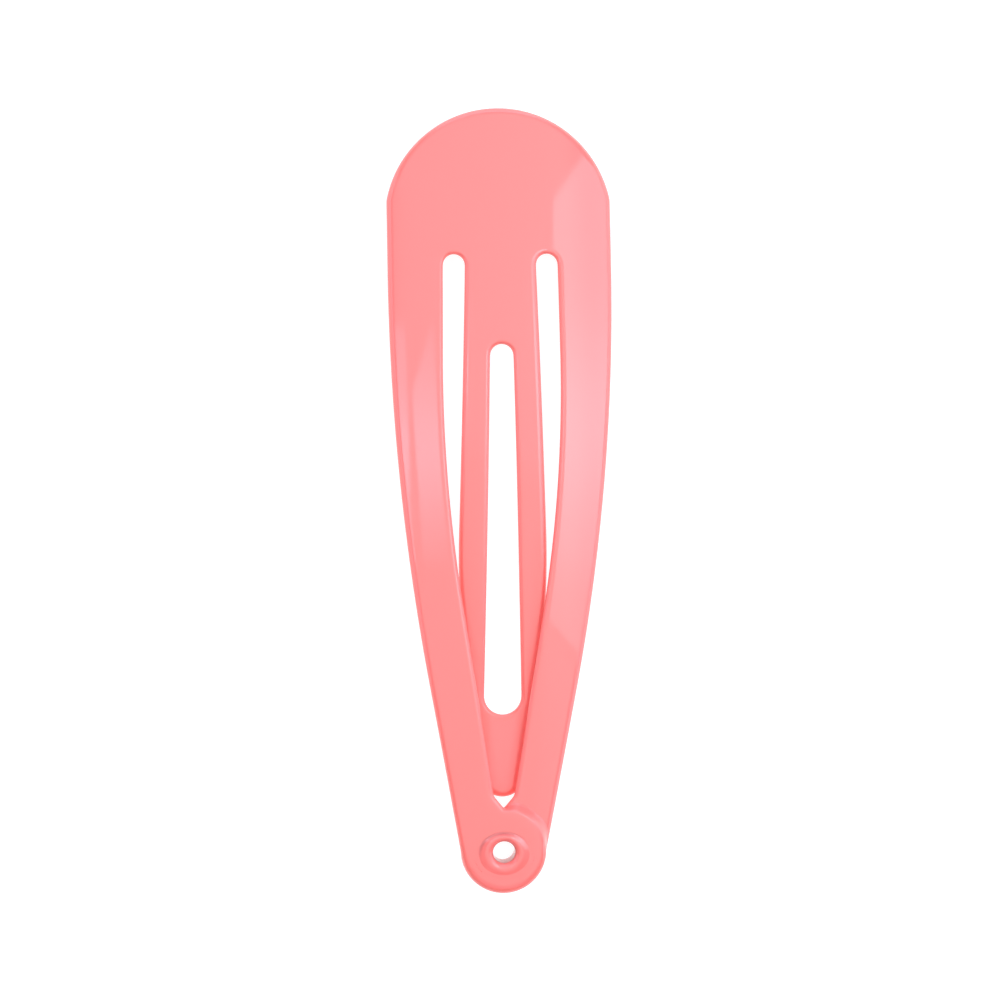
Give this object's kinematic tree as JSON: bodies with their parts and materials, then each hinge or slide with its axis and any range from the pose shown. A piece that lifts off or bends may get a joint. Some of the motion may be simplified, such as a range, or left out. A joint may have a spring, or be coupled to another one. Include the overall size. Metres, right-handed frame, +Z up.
{
  "type": "snap hair clip",
  "caption": "Domed enamelled spring-steel hair clip: a broad head, a slotted tongue, and legs that lap at a tip eyelet and snap open and shut.",
  "frame": {"origin": "on the surface that the clip lies on, under the middle of its length and width", "axes": "+Y towards the broad head, +X to the right seen from above, +Z up, out of the domed face"},
  "size_m": [0.0142, 0.05, 0.0035],
  "materials": {
    "sheet_enamel": "glossy salmon-pink enamel on pressed spring steel",
    "eyelet_enamel": "glossy salmon-pink enamel on a rolled steel eyelet"
  },
  "bodies": {
    "base": {"head_and_tongue": "sheet_enamel"},
    "frame": {"left_leg": "sheet_enamel", "right_leg": "sheet_enamel", "eyelet": "eyelet_enamel"}
  },
  "joints": [
    {"name": "snap_open", "type": "hinge", "parent": "base", "child": "frame", "pos_m": [0, 0.01496, 0.00226], "axis": [-1, 0, 0], "range_deg": [0, 20]}
  ]
}
